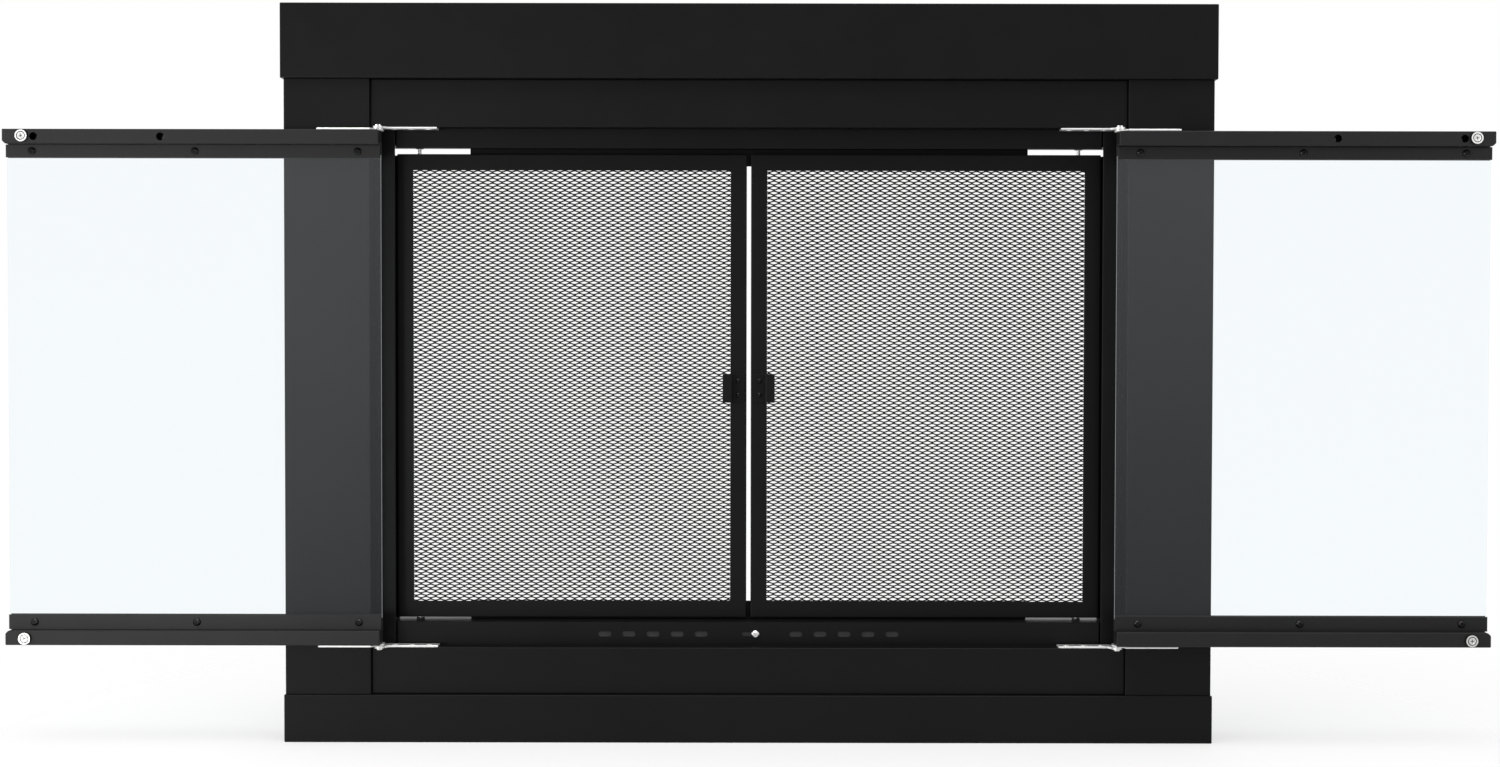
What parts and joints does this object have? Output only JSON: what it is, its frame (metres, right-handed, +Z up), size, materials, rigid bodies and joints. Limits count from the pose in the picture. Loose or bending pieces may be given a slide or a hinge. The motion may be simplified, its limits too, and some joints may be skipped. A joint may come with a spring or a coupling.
{
  "type": "fireplace glass door",
  "caption": "Cabinet fireplace door set: black steel surround with hinged clear glass doors, hinged expanded-metal mesh doors behind them and a sliding air vent in the sill.",
  "frame": {"origin": "on the hearth, midway across the base, in the plane of the wall behind the surround", "axes": "+X to the right across the opening, +Y from the room into the wall, +Z up"},
  "size_m": [1.507, 0.128, 0.754],
  "materials": {
    "steel_black": "satin black powder coat with a fine texture",
    "mesh_black": "matt black paint on expanded steel",
    "clear_glass": "clear tempered glass",
    "heat_tape": "black woven heat tape",
    "handle_black": "satin black",
    "nickel": "bright nickel plate",
    "zinc": "bright zinc plate",
    "grey_steel": "dull grey phosphated steel",
    "black_screw": "black oxide",
    "bushing": "dark sintered steel"
  },
  "bodies": {
    "frame": {"hood": "steel_black", "left_column": "steel_black", "right_column": "steel_black", "header_panel": "steel_black", "base_panel": "steel_black", "footer_panel": "steel_black", "left_jamb": "steel_black", "right_jamb": "steel_black", "top_channel": "steel_black", "sill_channel": "steel_black", "top_stop_plate": "steel_black", "bottom_stop_plate": "steel_black", "corner_brackets": "zinc", "frame_screws": "black_screw", "lintel_clamps": "zinc", "lintel_jack_screws": "zinc", "floor_brackets": "zinc", "mounting_bolts": "zinc", "frame_hinge_leaves": "zinc", "frame_hinge_screws": "zinc", "mesh_pivot_bushings": "bushing", "vent_guides": "steel_black"},
    "vent": {"vent_slider": "grey_steel", "vent_knob": "nickel"},
    "left_glass_door": {"left_glass": "clear_glass", "left_top_rail": "steel_black", "left_bottom_rail": "steel_black", "left_glass_strips": "steel_black", "left_strip_screws": "black_screw", "left_glass_tapes": "heat_tape", "left_magnets": "nickel", "left_magnet_screws": "zinc", "left_handle": "handle_black", "left_handle_screws": "zinc", "left_hinge_leaves": "zinc", "left_hinge_pins": "nickel", "left_hinge_screws": "zinc"},
    "right_glass_door": {"right_glass": "clear_glass", "right_top_rail": "steel_black", "right_bottom_rail": "steel_black", "right_glass_strips": "steel_black", "right_strip_screws": "black_screw", "right_glass_tapes": "heat_tape", "right_magnets": "nickel", "right_magnet_screws": "zinc", "right_handle": "handle_black", "right_handle_screws": "zinc", "right_hinge_leaves": "zinc", "right_hinge_pins": "nickel", "right_hinge_screws": "zinc"},
    "left_mesh_door": {"left_mesh_frame": "steel_black", "left_mesh_screen": "mesh_black", "left_mesh_pull": "steel_black", "left_mesh_rivets": "black_screw", "left_mesh_pins": "zinc"},
    "right_mesh_door": {"right_mesh_frame": "steel_black", "right_mesh_screen": "mesh_black", "right_mesh_pull": "steel_black", "right_mesh_rivets": "black_screw", "right_mesh_pins": "zinc"}
  },
  "joints": [
    {"name": "left_glass_door_hinge", "type": "hinge", "parent": "frame", "child": "left_glass_door", "pos_m": [-0.3775, -0.06, 0.3631], "axis": [0, 0, 1], "range_deg": [0, 180]},
    {"name": "right_glass_door_hinge", "type": "hinge", "parent": "frame", "child": "right_glass_door", "pos_m": [0.3775, -0.06, 0.3631], "axis": [0, 0, -1], "range_deg": [0, 180]},
    {"name": "left_mesh_door_hinge", "type": "hinge", "parent": "frame", "child": "left_mesh_door", "pos_m": [-0.343, -0.014, 0.3631], "axis": [0, 0, 1], "range_deg": [-100, 0]},
    {"name": "right_mesh_door_hinge", "type": "hinge", "parent": "frame", "child": "right_mesh_door", "pos_m": [0.343, -0.014, 0.3631], "axis": [0, 0, -1], "range_deg": [-100, 0]},
    {"name": "vent_slide", "type": "slide", "parent": "frame", "child": "vent", "axis": [1, 0, 0], "range_m": [-0.0125, 0]}
  ]
}
